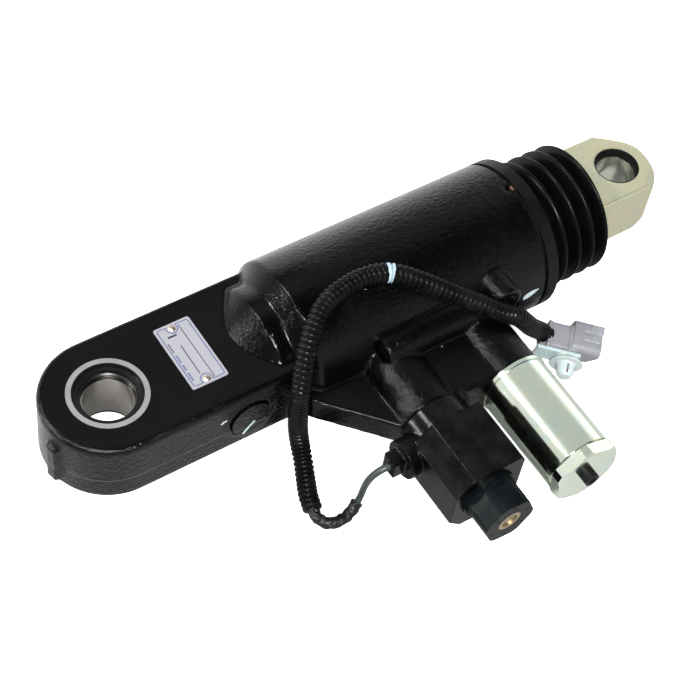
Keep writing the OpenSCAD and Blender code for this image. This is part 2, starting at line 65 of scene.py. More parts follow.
def add_camera():
    """A camera that looks at TARGET, rolled about its line of sight."""
    az, el, roll = (math.radians(CAMERA[k]) for k in ("azimuth", "elevation", "roll"))
    back = Vector((math.sin(az) * math.cos(el), -math.cos(az) * math.cos(el), math.sin(el)))
    level = Vector((math.cos(az), math.sin(az), 0))
    upright = back.cross(level)
    right = level * math.cos(roll) + upright * math.sin(roll)
    up = back.cross(right)
    data = bpy.data.cameras.new("camera")
    data.lens = CAMERA["lens"]
    data.sensor_width = SENSOR_WIDTH
    data.clip_start = 0.01
    camera = bpy.data.objects.new("camera", data)
    bpy.context.scene.collection.objects.link(camera)
    facing = Matrix((right, up, back)).transposed().to_4x4()
    camera.matrix_world = Matrix.Translation(TARGET + back * CAMERA["distance"]) @ facing
    bpy.context.scene.camera = camera


# ---------------------------------------------------------------- node materials


class Nodes:
    """A node tree with helpers that add nodes to it. place is the coordinates that they read."""

    def __init__(self, tree, coordinates):
        self.tree = tree
        self.place = tree.nodes.new("ShaderNodeTexCoord").outputs[coordinates]

    def add(self, kind, **inputs):
        """A node with its inputs linked or set, by name or as i0, i1 and so on."""
        made = self.tree.nodes.new(kind)
        for key, value in inputs.items():
            socket = made.inputs[int(key[1:])] if key[0] == "i" and key[1:].isdigit() else made.inputs[key]
            if isinstance(value, bpy.types.NodeSocket):
                self.tree.links.new(value, socket)
            else:
                socket.default_value = value
        return made

    def math(self, operation, a, b):
        made = self.add("ShaderNodeMath", i0=a, i1=b)
        made.operation = operation
        return made.outputs[0]

    def part(self, axis, source=None):
        """One axis of the coordinates, or of another vector."""
        made = self.add("ShaderNodeSeparateXYZ", Vector=source or self.place)
        return made.outputs["xyz".index(axis)]

    def between(self, value, low, high, to_low=0.0, to_high=1.0):
        """Value taken from the range low to high onto another range, and kept inside it."""
        return self.add("ShaderNodeMapRange", i0=value, i1=low, i2=high, i3=to_low, i4=to_high).outputs[0]

    def ramp(self, value, stops):
        made = self.add("ShaderNodeValToRGB", Fac=value)
        band = made.color_ramp
        while len(band.elements) < len(stops):
            band.elements.new(0.5)
        for element, (position, color) in zip(band.elements, stops):
            element.position = position
            element.color = (*color, 1)
        return made.outputs[0]

    def seen_or_felt(self, seen, felt):
        """A level that is one thing to the camera and another to the light that falls on the model."""
        rays = self.tree.nodes.new("ShaderNodeLightPath")
        return self.between(rays.outputs["Is Camera Ray"], 0.0, 1.0, felt, seen)


class Paint(Nodes):
    """A material with helpers that add the nodes of its surface, in the object's own coordinates."""

    def __init__(self, name, color, roughness, metallic=0.0, **sockets):
        self.material = bpy.data.materials.new(name)
        self.material.use_nodes = True
        super().__init__(self.material.node_tree, "Object")
        self.shader = self.tree.nodes["Principled BSDF"]
        self.shader.inputs["Base Color"].default_value = (*color, 1)
        self.shader.inputs["Roughness"].default_value = roughness
        self.shader.inputs["Metallic"].default_value = metallic
        for socket, value in sockets.items():
            self.shader.inputs[socket.replace("_", " ")].default_value = value
        self.height = None

    def stretched(self, scale):
        """The object's own coordinates, stretched by a scale for each axis."""
        return self.add("ShaderNodeMapping", Vector=self.place, Scale=scale).outputs[0]

    def noise(self, scale, detail=3.0, roughness=0.5, where=None, distortion=0.0):
        return self.add("ShaderNodeTexNoise", Vector=where or self.place, Scale=scale, Detail=detail,
                        Roughness=roughness, Distortion=distortion).outputs["Fac"]

    def cells(self, scale):
        return self.add("ShaderNodeTexVoronoi", Vector=self.place, Scale=scale).outputs["Distance"]

    def mixed(self, share, a, b):
        """Color a turned into color b by a share."""
        made = self.tree.nodes.new("ShaderNodeMix")
        made.data_type = "RGBA"
        for socket, value in zip((made.inputs[0], made.inputs[6], made.inputs[7]), (share, a, b)):
            if isinstance(value, bpy.types.NodeSocket):
                self.tree.links.new(value, socket)
            else:
                socket.default_value = value if isinstance(value, float) else (*value, 1)
        return made.outputs[2]

    def face_normal(self, axis):
        made = self.tree.nodes.new("ShaderNodeNewGeometry")
        return self.part(axis, made.outputs["Normal"])

    def drive(self, socket, value):
        self.tree.links.new(value, self.shader.inputs[socket])

    def bump(self, height, distance):
        """Adds a layer of relief, its distance in metres."""
        made = self.add("ShaderNodeBump", Height=height, Distance=distance, Strength=1.0)
        if self.height is not None:
            self.tree.links.new(self.height, made.inputs["Normal"])
        self.height = made.outputs[0]
        self.drive("Normal", self.height)


# Where looks of the casting change, in metres: along x past the lug and past the shoulder, and up z at
# the step of the mould's parting line
LUG_FADE = (0.082, 0.062)
SHOULDER_FADE = (0.122, 0.104)
PARTING_STEP = (-0.0053, -0.0045)


def cast_enamel():
    """Black enamel over a sand casting: peel and grain, calmer on the lug's top and the shoulder, and dust."""
    paint = Paint("cast_enamel", (0.003, 0.003, 0.003), 0.3, IOR=1.5, Specular_IOR_Level=0.18)
    flat_top = paint.between(paint.face_normal("z"), 0.9, 0.99)
    on_lug = paint.between(paint.part("x"), *LUG_FADE)
    smooth_top = paint.math("MULTIPLY", flat_top, on_lug)
    rough_side = paint.math("SUBTRACT", 1.0, paint.math("MULTIPLY", smooth_top, 0.75))
    shoulder = paint.math("SUBTRACT", paint.between(paint.part("x"), *SHOULDER_FADE), on_lug)
    rough_side = paint.math("SUBTRACT", rough_side, paint.math("MULTIPLY", shoulder, 0.55))
    grain = paint.noise(1150, 4, 0.55)
    peel = paint.noise(430, 2, 0.5, distortion=0.3)
    pits = paint.between(paint.cells(700), 0.0, 0.35)
    speck = paint.between(paint.noise(1500, 2, 0.6), 0.765, 0.79)
    dust = paint.math("MULTIPLY", speck, paint.between(paint.noise(90, 2), 0.5, 0.62))
    tone = paint.ramp(paint.noise(38, 4), [(0.3, (0.0005, 0.0006, 0.0006)), (0.7, (0.0012, 0.0013, 0.0014))])
    paint.drive("Base Color", paint.mixed(paint.math("MULTIPLY", dust, 0.4), tone, (0.16, 0.165, 0.175)))
    polish = paint.between(paint.noise(70, 3), 0.3, 0.7, 0.07, 0.14)
    paint.drive("Roughness", paint.math("ADD", polish, paint.math("MULTIPLY", smooth_top, 0.16)))
    relief = paint.math("ADD", paint.math("MULTIPLY", grain, 0.5), paint.math("MULTIPLY", peel, 0.8))
    relief = paint.math("ADD", relief, paint.math("MULTIPLY", pits, 0.2))
    paint.bump(paint.math("MULTIPLY", relief, rough_side), 0.0005)
    parting = paint.between(paint.part("z"), *PARTING_STEP)
    paint.bump(paint.math("MULTIPLY", parting, on_lug), 0.0004)
    paint.bump(paint.noise(1900, 2), 0.00003)
    return paint.material


def turned_black():
    """Satin black on a turned ring: fine grooves round the cylinder's axis."""
    paint = Paint("turned_black", (0.02, 0.021, 0.022), 0.42, Specular_IOR_Level=0.15)
    grooves = paint.noise(1.0, 2, where=paint.stretched((4200, 60, 60)))
    paint.drive("Roughness", paint.between(paint.noise(90, 3), 0.3, 0.7, 0.36, 0.5))
    paint.drive("Base Color", paint.ramp(paint.noise(140, 3), [(0.3, (0.0012, 0.0014, 0.0014)),
                                                             (0.75, (0.003, 0.0034, 0.0034))]))
    paint.bump(grooves, 0.00002)
    return paint.material


def ground_steel(name, color, roughness, marks, wear=0.06, metallic=1.0):
    """Bare steel with grinding marks that run where marks stretches them."""
    paint = Paint(name, color, roughness, metallic)
    lines = paint.noise(1.0, 3, 0.6, where=paint.stretched(marks))
    dark = tuple(0.82 * c for c in color)
    paint.drive("Base Color", paint.mixed(paint.between(paint.noise(160, 4), 0.3, 0.75), color, dark))
    paint.drive("Roughness", paint.between(lines, 0.25, 0.75, roughness - wear, roughness + wear))
    paint.bump(lines, 0.000005)
    return paint.material


def yellow_zinc(name, marks, roughness, wear, metallic, tint):
    """Zinc plate with a thin iridescent passivation, olive cream with pink and green clouds."""
    paint = Paint(name, (0.62, 0.62, 0.5), roughness, metallic)
    clouds = paint.noise(48, 3, 0.55, distortion=1.4)
    shades = [(0.28, (0.62, 0.70, 0.62)), (0.42, (0.67, 0.72, 0.60)), (0.52, (0.71, 0.73, 0.57)),
              (0.62, (0.72, 0.69, 0.60)), (0.74, (0.64, 0.69, 0.63))]
    film = paint.ramp(clouds, [(at, tuple(t * c for t, c in zip(tint, color))) for at, color in shades])
    spots = paint.between(paint.noise(800, 3, 0.6), 0.6, 0.75)
    paint.drive("Base Color", paint.mixed(paint.math("MULTIPLY", spots, 0.3), film, (0.42, 0.42, 0.35)))
    lines = paint.noise(1.0, 3, 0.6, where=paint.stretched(marks))
    paint.drive("Roughness", paint.between(lines, 0.3, 0.7, roughness - wear, roughness + wear))
    paint.bump(lines, 0.000006)
    return paint.material


def black_rubber(name, roughness, tone, specular):
    """Black rubber with a slight grey bloom."""
    paint = Paint(name, (tone, tone, tone), roughness, IOR=1.5, Specular_IOR_Level=specular)
    paint.drive("Roughness", paint.between(paint.noise(60, 4), 0.3, 0.7, roughness - 0.07, roughness + 0.1))
    bloom = paint.between(paint.noise(35, 3), 0.5, 0.8)
    paint.drive("Base Color", paint.mixed(paint.math("MULTIPLY", bloom, 0.5), (tone, tone, tone),
                                          (tone * 2.4, tone * 2.4, tone * 2.5)))
    paint.bump(paint.noise(2400, 3), 0.00003)
    return paint.material


def moulded(name, color, roughness, grain=0.00004, grain_scale=2600, **sockets):
    """Moulded plastic: a fine spark-eroded grain and slightly uneven gloss."""
    paint = Paint(name, color, roughness, **sockets)
    lighter = tuple(min(1.0, 1.18 * c + 0.004) for c in color)
    paint.drive("Base Color", paint.mixed(paint.between(paint.noise(110, 4), 0.35, 0.7), color, lighter))
    paint.drive("Roughness", paint.between(paint.noise(75, 3), 0.3, 0.7, roughness - 0.06, roughness + 0.07))
    paint.bump(paint.noise(grain_scale, 2), grain)
    return paint.material


def wound_tape():
    """Vinyl tape: glossy creases and the edges of its turns."""
    paint = Paint("wound_tape", (0.003, 0.003, 0.0035), 0.3, Specular_IOR_Level=0.3)
    creases = paint.noise(420, 4, 0.6, distortion=1.5)
    paint.drive("Roughness", paint.between(paint.noise(200, 3), 0.3, 0.7, 0.22, 0.45))
    paint.bump(creases, 0.0004)
    return paint.material


def plate_metal():
    """Anodised nameplate, brushed along its length."""
    paint = Paint("plate_metal", (0.25, 0.25, 0.27), 0.4, 0.15)
    lines = paint.noise(1.0, 3, where=paint.stretched((3000, 90, 90)))
    paint.drive("Base Color", paint.mixed(paint.between(lines, 0.3, 0.7), (0.235, 0.235, 0.26), (0.26, 0.26, 0.285)))
    paint.drive("Roughness", paint.between(paint.noise(120, 3), 0.3, 0.7, 0.32, 0.46))
    paint.bump(lines, 0.00001)
    return paint.material


def brush_mark():
    """Pale blue inspection paint, thin at its edges."""
    paint = Paint("brush_mark", (0.4, 0.5, 0.52), 0.45)
    paint.drive("Base Color", paint.ramp(paint.noise(420, 4), [(0.3, (0.28, 0.38, 0.41)), (0.6, (0.46, 0.55, 0.57))]))
    paint.bump(paint.noise(900, 3), 0.0001)
    return paint.material


MATERIALS = {
    "enamel": cast_enamel(),
    "gland": turned_black(),
    "race": ground_steel("race_steel", (0.38, 0.37, 0.365), 0.26, (60, 60, 400), metallic=0.7),
    "bore": ground_steel("bore_steel", (0.42, 0.40, 0.37), 0.24, (40, 40, 400)),
    "bush": ground_steel("bush_steel", (0.72, 0.75, 0.66), 0.2, (40, 40, 400)),
    "dark_steel": ground_steel("dark_steel", (0.28, 0.28, 0.28), 0.4, (2000, 60, 60)),
    "spring": ground_steel("spring_wire", (0.35, 0.35, 0.37), 0.35, (300, 300, 300)),
    "chrome": ground_steel("rod_chrome", (0.75, 0.76, 0.78), 0.12, (3000, 50, 50), 0.03),
    "zinc_x": yellow_zinc("zinc_eye", (500, 500, 500), 0.34, 0.08, 0.7, (0.76, 0.72, 0.62)),
    "zinc_y": yellow_zinc("zinc_turned", (60, 1500, 60), 0.13, 0.03, 1.0, (1.08, 1.16, 1.2)),
    "brass": ground_steel("brass", (0.42, 0.35, 0.24), 0.42, (900, 900, 900)),
    "rivet": ground_steel("rivet_metal", (0.6, 0.51, 0.42), 0.36, (800, 800, 800)),
    "bronze": ground_steel("bronze", (0.55, 0.38, 0.2), 0.35, (60, 2000, 60)),
    "copper": ground_steel("copper", (0.75, 0.42, 0.32), 0.35, (900, 900, 900)),
    "oxide": moulded("black_oxide", (0.003, 0.003, 0.003), 0.5, 0.00002, Specular_IOR_Level=0.1),
    "seal": black_rubber("seal_rubber", 0.32, 0.003, 0.25),
    "bellows": black_rubber("bellows_rubber", 0.32, 0.001, 0.1),
    "seal_blue": moulded("seal_plastic", (0.12, 0.2, 0.33), 0.4),
    "coil": moulded("coil_plastic", (0.0008, 0.0009, 0.001), 0.15, 0.00003, Specular_IOR_Level=0.09),
    "nut": moulded("nut_plastic", (0.001, 0.002, 0.0026), 0.2, 0.00003, Specular_IOR_Level=0.06),
    "cable": moulded("cable_jacket", (0.02, 0.027, 0.027), 0.34, 0.00003, Specular_IOR_Level=0.35),
    "conduit": moulded("conduit_plastic", (0.0011, 0.0016, 0.0016), 0.25, 0.00002, 3000, Specular_IOR_Level=0.08),
    "stripe": moulded("conduit_stripe", (0.24, 0.33, 0.37), 0.4, 0.00006, 1200),
    "grey": moulded("grey_plastic", (0.17, 0.173, 0.19), 0.42, 0.00002),
    "white": moulded("milky_plastic", (0.38, 0.43, 0.43), 0.36, 0.00002, Subsurface_Weight=0.25),
    "tape": wound_tape(),
    "plate": plate_metal(),
    "ink": moulded("plate_ink", (0.03, 0.035, 0.12), 0.45, 0.00001),
    "dark_ink": moulded("plate_lines", (0.008, 0.009, 0.022), 0.4, 0.00001),
    "mark": brush_mark(),
}


# ---------------------------------------------------------------- mesh helpers


def finish_mesh(obj, material, body="cylinder_body", sharp=32, nodes=()):
    """Shades a mesh smooth but for its sharp edges, and ties it to its material, slot and body."""
    obj.data.materials.clear()
    obj.data.materials.append(MATERIALS[material])
    obj.data.shade_smooth()
    obj.data.set_sharp_from_angle(angle=math.radians(sharp))
    if nodes:
        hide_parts(*nodes)
    if body:
        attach(obj, body)


def mesh_object(name, points, faces):
    """An object made of points in metres and of faces that list them."""
    mesh = bpy.data.meshes.new(name)
    mesh.from_pydata([tuple(p) for p in points], [], faces)
    mesh.update()
    obj = bpy.data.objects.new(name, mesh)
    bpy.context.scene.collection.objects.link(obj)
    return obj


def with_modifiers_applied(obj):
    """Bakes an object's modifiers into its mesh."""
    ready = obj.evaluated_get(bpy.context.evaluated_depsgraph_get())
    mesh = bpy.data.meshes.new_from_object(ready)
    obj.modifiers.clear()
    obj.data = mesh
    return obj


def coordinates(obj):
    """The points of a mesh, one to a row."""
    co = np.empty(len(obj.data.vertices) * 3)
    obj.data.vertices.foreach_get("co", co)
    return co.reshape(-1, 3)


def set_coordinates(obj, co):
    obj.data.vertices.foreach_set("co", co.ravel())
    obj.data.update()


def softened(node, name, voxel, passes, keep=None, fix=None):
    """A copy of a CAD node with its edges melted, as a casting's or a moulding's are.

    keep takes the points and says how much each may move, and fix sets the points of crisp edges."""
    obj = bpy.data.objects.new(name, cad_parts[node].data.copy())
    bpy.context.scene.collection.objects.link(obj)
    remesh = obj.modifiers.new("remesh", "REMESH")
    remesh.mode = "VOXEL"
    remesh.voxel_size = voxel
    with_modifiers_applied(obj)
    smooth = obj.modifiers.new("smooth", "SMOOTH")
    smooth.factor = 0.5
    smooth.iterations = passes
    if keep:
        group = obj.vertex_groups.new(name="soft")
        shares = keep(coordinates(obj))
        for level in np.unique(shares):
            group.add(np.flatnonzero(shares == level).tolist(), float(level), "REPLACE")
        smooth.vertex_group = group.name
    with_modifiers_applied(obj)
    obj.vertex_groups.clear()
    if fix:
        set_coordinates(obj, fix(coordinates(obj)))
    return obj


def turned(name, profile, segments):
    """A ring of revolution round the x axis. profile is a closed line of (radius, x) in mm."""
    points, faces, n = [], [], len(profile)
    for k in range(segments):
        a = 2 * math.pi * k / segments
        points += [Vector((x, -r * math.sin(a), r * math.cos(a))) * MM for r, x in profile]
    for k in range(segments):
        for i in range(n):
            j = (i + 1) % n
            m = (k + 1) % segments
            faces.append((k * n + i, k * n + j, m * n + j, m * n + i))
    return clean(mesh_object(name, points, faces))


def clean(obj, merge=1e-6):
    """Merges doubled points, drops empty faces and turns the faces outwards."""
    bm = bmesh.new()
    bm.from_mesh(obj.data)
    bmesh.ops.remove_doubles(bm, verts=bm.verts, dist=merge)
    bmesh.ops.dissolve_degenerate(bm, edges=bm.edges, dist=merge)
    bmesh.ops.recalc_face_normals(bm, faces=bm.faces)
    bm.to_mesh(obj.data)
    bm.free()
    return obj


def smooth_path(points, step):
    """Points a step apart along a smooth curve through the given ones, in metres."""
    p = np.array(points, float)
    padded = np.vstack([2 * p[0] - p[1], p, 2 * p[-1] - p[-2]])
    dense = []
    for i in range(len(p) - 1):
        a, b, c, d = padded[i:i + 4]
        for t in np.linspace(0, 1, 24, endpoint=False):
            dense.append(0.5 * (2 * b + (c - a) * t + (2 * a - 5 * b + 4 * c - d) * t ** 2
                                + (3 * b - a - 3 * c + d) * t ** 3))
    dense.append(p[-1])
    dense = np.array(dense)
    along = np.concatenate([[0], np.cumsum(np.linalg.norm(np.diff(dense, axis=0), axis=1))])
    places = np.linspace(0, along[-1], max(2, round(along[-1] / step)) + 1)
    return np.column_stack([np.interp(places, along, dense[:, i]) for i in range(3)]), along[-1]


def carried_sides(path):
    """For each point of a path two directions across it, carried along without twist."""
    heading = np.gradient(path, axis=0)
    heading /= np.linalg.norm(heading, axis=1)[:, None]
    side = np.cross(heading[0], (0.3, 0.2, 1.0))
    sides = []
    for h in heading:
        side = side - h * np.dot(side, h)
        side /= np.linalg.norm(side)
        sides.append(side.copy())
    sides = np.array(sides)
    return sides, np.cross(heading, sides)


def swept(name, path, radius, sides):
    """A tube along path. radius(i, angle) gives its radius at a point of the path, in metres."""
    u, w = carried_sides(path)
    points, faces = [], []
    for i, p in enumerate(path):
        for k in range(sides):
            a = 2 * math.pi * k / sides
            points.append(p + (math.cos(a) * u[i] + math.sin(a) * w[i]) * radius(i, a))
    for i in range(len(path) - 1):
        for k in range(sides):
            m = (k + 1) % sides
            faces.append((i * sides + k, i * sides + m, (i + 1) * sides + m, (i + 1) * sides + k))
    faces.append(tuple(reversed(range(sides))))
    faces.append(tuple(range((len(path) - 1) * sides, len(path) * sides)))
    return clean(mesh_object(name, points, faces), 1e-7)


# ---------------------------------------------------------------- harness

# The routes of part.scad, in metres
CONDUIT_ROUTE = [(0.0739, -0.0775, -0.0368), (0.0764, -0.069, -0.0365), (0.0805, -0.06, -0.0362),
                 (0.084, -0.0515, -0.0335), (0.0852, -0.046, -0.0275), (0.085, -0.0432, -0.019),
                 (0.0843, -0.0424, -0.008), (0.0838, -0.0424, 0.002), (0.0836, -0.0423, 0.012),
                 (0.0844, -0.041, 0.021), (0.088, -0.0365, 0.03), (0.094, -0.0305, 0.037),
                 (0.101, -0.0245, 0.0415), (0.11, -0.019, 0.0445), (0.12, -0.0165, 0.046),
                 (0.132, -0.0155, 0.0465), (0.143, -0.0175, 0.0465), (0.152, -0.022, 0.045),
                 (0.1605, -0.0285, 0.042), (0.169, -0.035, 0.038), (0.178, -0.0415, 0.033),
                 (0.187, -0.0475, 0.028), (0.1965, -0.0535, 0.022), (0.206, -0.056, 0.0158),
                 (0.214, -0.0555, 0.0055), (0.2213, -0.0538, -0.0052), (0.2278, -0.0519, -0.0139),
                 (0.2332, -0.051, -0.0203), (0.237, -0.0514, -0.0249), (0.2402, -0.0529, -0.0283)]
LEAD_ROUTE = [(0.107, -0.0915, -0.0005), (0.1032, -0.0914, -0.0007), (0.1001, -0.091, -0.0021),
              (0.0979, -0.0902, -0.005), (0.097, -0.0891, -0.0092), (0.0969, -0.0877, -0.0145),
              (0.0971, -0.0865, -0.02), (0.0971, -0.0857, -0.0255), (0.0966, -0.0855, -0.0302),
              (0.0948, -0.086, -0.034)]
TAPE_ROUTE = [(0.0948, -0.086, -0.034), (0.092, -0.087, -0.0365), (0.0884, -0.0882, -0.0377),
              (0.0846, -0.0889, -0.0379), (0.0808, -0.0889, -0.0379), (0.0772, -0.0877, -0.0378),
              (0.0747, -0.0851, -0.0376), (0.0735, -0.0816, -0.0373), (0.0739, -0.0775, -0.0368)]
CONDUIT_R = 5.2 * MM
LEAD_R = 2.0 * MM
RIB_PITCH = 2.8 * MM
RIB_DEPTH = 0.85 * MM
RIB_CLEARANCE = 0.05 * MM
RIB_STEPS = 8
BAND = (0.1658, 0.1688)  # the conduit's painted band, from its taped end
TAPE_STEP = 0.5 * MM
TAPE_TURN = 5.5 * MM


def make_conduit():
    """Corrugated conduit: rounded ribs, with a pale band painted round it."""
    path, length = smooth_path(CONDUIT_ROUTE, RIB_PITCH / RIB_STEPS)

    def radius(i, _angle):
        phase = (i % RIB_STEPS) / RIB_STEPS
        rib = min(1.0, max(0.0, 1.35 * math.sin(math.pi * phase) - 0.1))
        return CONDUIT_R - RIB_CLEARANCE - RIB_DEPTH * (1 - rib)

    tube = swept("conduit_ribs", path, radius, 28)
    finish_mesh(tube, "conduit", nodes=["conduit"], sharp=50)
    tube.data.materials.append(MATERIALS["stripe"])
    along = np.linspace(0, length, len(path))
    co = coordinates(tube)
    for face in tube.data.polygons:
        middle = co[list(face.vertices)].mean(axis=0)
        if BAND[0] < along[np.argmin(np.linalg.norm(path - middle, axis=1))] < BAND[1]:
            face.material_index = 1
    return tube, path, length


def make_lead():
    """The coil's two-core lead, from the coil's boss round the turn under the tape into the conduit."""
    path, length = smooth_path(LEAD_ROUTE + TAPE_ROUTE[1:], 0.8 * MM)
    lead = swept("lead_cable", path, lambda _i, angle: LEAD_R * (1 - 0.1 * abs(math.sin(angle))), 16)
    finish_mesh(lead, "cable", nodes=["coil_lead"], sharp=50)
    return lead, path, length


def add_harness():
    """The lead, its tape, the conduit, the connector and its clip."""
    conduit, conduit_path, conduit_length = make_conduit()
    lead, lead_path, lead_length = make_lead()
    tape_path, _ = smooth_path(TAPE_ROUTE, TAPE_STEP)

    def wrapped(i, angle):
        """The tape's radius: a step at each lap, and a slight crumple."""
        place = i * TAPE_STEP / TAPE_TURN + angle / (2 * math.pi)
        lap = place - math.floor(place)
        return (3.35 - 0.55 * lap + 0.12 * math.sin(3 * angle + 9 * place)) * MM

    tape = swept("tape_turns", tape_path, wrapped, 32)
    finish_mesh(tape, "tape", nodes=["tape_wrap"], sharp=28)
    housing = softened("connector_housing", "plug_housing", 0.35 * MM, 3)
    finish_mesh(housing, "grey", nodes=["connector_housing"], sharp=50)
    clip = softened("harness_clip", "clip_body", 0.35 * MM, 3)
    finish_mesh(clip, "white", nodes=["harness_clip"], sharp=50)


# ---------------------------------------------------------------- the cylinder

EYE_R = 20.43 * MM
PIN_X = 0.3155
ROD_BORE_R = 12.6 * MM
ROD_EYE_ROOT = 290.5 * MM
LUG_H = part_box("base_eye_race")[1].z
BARREL_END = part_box("cylinder_casting")[1].x
BARREL_R = -FLOOR_Z


def add_casting():
    """The casting with its sand-cast fillets; the eye's rim and the barrel's end stay machined."""

    def keep(co):
        radial = np.hypot(co[:, 0], co[:, 1])
        shares = np.ones(len(co))
        shares[radial < EYE_R + 1.5 * MM] = 0.0
        shares[co[:, 0] > BARREL_END - 1.5 * MM] = 0.0
        return shares

    def fix(co):
        radial = np.hypot(co[:, 0], co[:, 1])
        rim = np.abs(radial - EYE_R) < 0.55 * MM
        co[rim, :2] *= (EYE_R / radial[rim])[:, None]
        flat = (np.abs(np.abs(co[:, 2]) - LUG_H) < 0.6 * MM) & (radial < EYE_R + 3 * MM)
        co[flat, 2] = np.sign(co[flat, 2]) * LUG_H
        round_x = np.hypot(co[:, 1], co[:, 2])
        end = (co[:, 0] > BARREL_END - 1.6 * MM) & (np.abs(round_x - BARREL_R) < 0.6 * MM)
        co[end, 1:] *= (BARREL_R / round_x[end])[:, None]
        return co

    obj = softened("cylinder_casting", "casting_shell", 0.8 * MM, 10, keep, fix)
    finish_mesh(obj, "enamel", nodes=["cylinder_casting"], sharp=60)


def add_coil():
    """The coil's overmoulding with its edges rounded."""
    obj = softened("solenoid_coil", "coil_moulding", 0.45 * MM, 4)
    finish_mesh(obj, "coil", nodes=["solenoid_coil"], sharp=45)


def add_rod_eye():
    """The rod eye with its forged edges rounded; its hole and its root stay machined."""

    def keep(co):
        radial = np.hypot(co[:, 0] - PIN_X, co[:, 1])
        shares = np.ones(len(co))
        shares[radial < ROD_BORE_R + 1.0 * MM] = 0.0
        shares[co[:, 0] < ROD_EYE_ROOT] = 0.0
        return shares

    def fix(co):
        radial = np.hypot(co[:, 0] - PIN_X, co[:, 1])
        rim = np.abs(radial - ROD_BORE_R) < 0.35 * MM
        scale = (ROD_BORE_R / radial[rim])[:, None]
        co[rim, :2] = (co[rim, :2] - (PIN_X, 0)) * scale + (PIN_X, 0)
        return co

    obj = softened("rod_eye", "rod_eye_body", 0.5 * MM, 4, keep, fix)
    finish_mesh(obj, "zinc_x", body="rod_body", nodes=["rod_eye"], sharp=50)


def add_bellows():
    """Rubber bellows: a lip on the gland, rounded folds and a small cuff on the rod."""
    first, last, folds = 256.8, 284.3, 4
    pitch = (last - first) / (folds - 1)
    steps = 16

    def swing(place):
        """1 on a fold's crest and 0 in a valley."""
        return (0.5 + 0.5 * math.cos(2 * math.pi * place)) ** 0.8

    outer = [(30.05, 246.5), (33.2, 246.5), (34.0, 247.2), (34.0, 250.4), (33.2, 251.3)]
    inner = []
    for i in range(-6, (folds - 1) * steps + 7):
        place = i / steps
        crest = 36.3 - 0.12 * place
        valley = 31.5 if place < 0 else 28.2
        outer.append((valley + (crest - valley) * swing(place), first + pitch * place))
        inner.append((valley - 1.6 + (crest - valley) * 0.94 * swing(place), first + pitch * place))
    outer += [(26.0, 288.0), (24.8, 288.2), (24.6, 289.2), (24.0, 289.5), (20.1, 289.5), (20.05, 286.4)]
    inner[-1] = (24.4, 287.0)
    inner = inner[::-1] + [(30.05, 251.2)]
    obj = turned("bellows_boot", outer + inner, 160)
    finish_mesh(obj, "bellows", body=None, nodes=["bellows"], sharp=55)
    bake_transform(obj)


def add_spring(name, node, wire_r, turns):
    """A coil spring in the place of its node."""
    low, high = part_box(node)
    axis_x, axis_z = (low.x + high.x) / 2, (low.z + high.z) / 2
    coil_r = (high.x - low.x) / 2 - wire_r
    steps = turns * 24
    path = []
    for k in range(steps + 1):
        a = 2 * math.pi * turns * (k / steps)
        rise = (high.y - low.y - 2 * wire_r) * (k / steps)
        path.append((axis_x + coil_r * math.cos(a), low.y + wire_r + rise, axis_z + coil_r * math.sin(a)))
    obj = swept(name, np.array(path), lambda _i, _angle: wire_r, 10)
    finish_mesh(obj, "spring", body=None, nodes=[node], sharp=60)
    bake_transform(obj)


# The nameplate's centre and top, and its rivets about that centre, in mm
PLATE_X, PLATE_Y = 46.5, 1.3
PLATE_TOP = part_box("nameplate")[1].z / MM
RIVET_X, RIVET_Y = -0.9, 17.1
INK = 0.02


def ribbon_points(line, width):
    """The two edges of a flat ribbon along a line of points (x, y)."""
    p = np.array(line, float)
    heading = np.gradient(p, axis=0)
    heading /= np.linalg.norm(heading, axis=1)[:, None]
    side = np.column_stack([-heading[:, 1], heading[:, 0]]) * width / 2
    return p + side, p - side


def add_print(name, lines, look):
    """Plain ribbons of ink, each a line of points in mm on the nameplate and a width."""
    points, faces = [], []
    for line, width in lines:
        first = len(points)
        for a, b in zip(*ribbon_points(line, width)):
            for x, y in (a, b):
                points.append(((PLATE_X + x) * MM, (PLATE_Y + y) * MM, (PLATE_TOP + INK) * MM))
        for i in range(len(line) - 1):
            k = first + 2 * i
            faces.append((k + 1, k + 3, k + 2, k))
    obj = mesh_object(name, points, faces)
    finish_mesh(obj, look)


